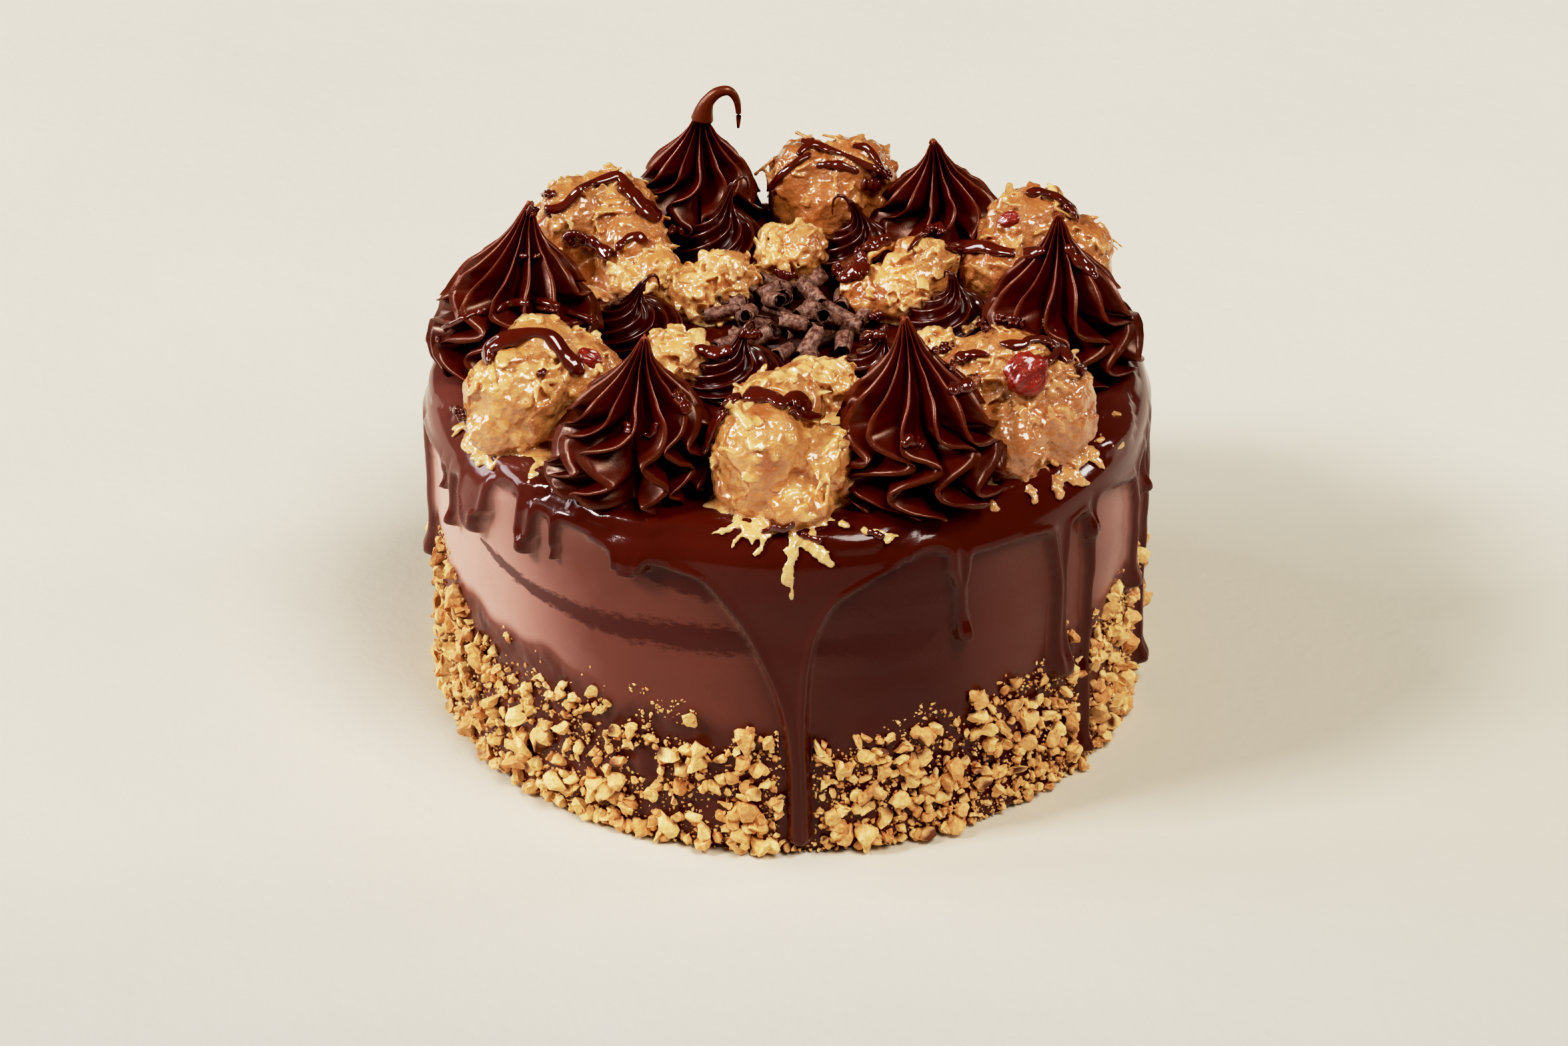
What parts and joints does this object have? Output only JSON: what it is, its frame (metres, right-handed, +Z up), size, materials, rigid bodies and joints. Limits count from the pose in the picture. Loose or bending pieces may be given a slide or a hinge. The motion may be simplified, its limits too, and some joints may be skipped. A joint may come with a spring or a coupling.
{
  "type": "german chocolate cake",
  "caption": "Tall round chocolate layer cake with dripping glaze, chopped nuts round its foot, piped rosettes, coconut-pecan balls, swirls and chocolate curls on top.",
  "frame": {"origin": "middle of the cake's flat underside", "axes": "+Z up through the cake's middle, -Y towards the front that the picture shows, +X to its right"},
  "size_m": [0.2124, 0.2131, 0.1521],
  "materials": {
    "ganache": "satin dark chocolate ganache with a glossier glaze",
    "chopped_nuts": "dry broken nut, cream inside with brown skin",
    "piped_icing": "satin dark chocolate buttercream",
    "swirl_icing": "glossy dark chocolate icing",
    "coconut_icing": "sticky caramel with shredded coconut, wet gloss",
    "shaved_chocolate": "dry shaved dark chocolate with a pale bloom",
    "syrup": "wet dark chocolate syrup"
  },
  "bodies": {
    "root": {"cake_body": "ganache", "rosette_1": "piped_icing", "rosette_2": "piped_icing", "rosette_3": "piped_icing", "rosette_4": "piped_icing", "rosette_5": "piped_icing", "rosette_6": "piped_icing", "coconut_ball_1": "coconut_icing", "coconut_ball_2": "coconut_icing", "coconut_ball_3": "coconut_icing", "coconut_ball_4": "coconut_icing", "coconut_ball_5": "coconut_icing", "coconut_ball_6": "coconut_icing", "swirl_1": "swirl_icing", "swirl_2": "swirl_icing", "swirl_3": "swirl_icing", "swirl_4": "swirl_icing", "swirl_5": "swirl_icing", "swirl_6": "swirl_icing", "coconut_clump_1": "coconut_icing", "coconut_clump_2": "coconut_icing", "coconut_clump_3": "coconut_icing", "coconut_clump_4": "coconut_icing", "coconut_clump_5": "coconut_icing", "coconut_clump_6": "coconut_icing", "coconut_clump_7": "coconut_icing", "chocolate_curls": "shaved_chocolate"}
  },
  "joints": []
}
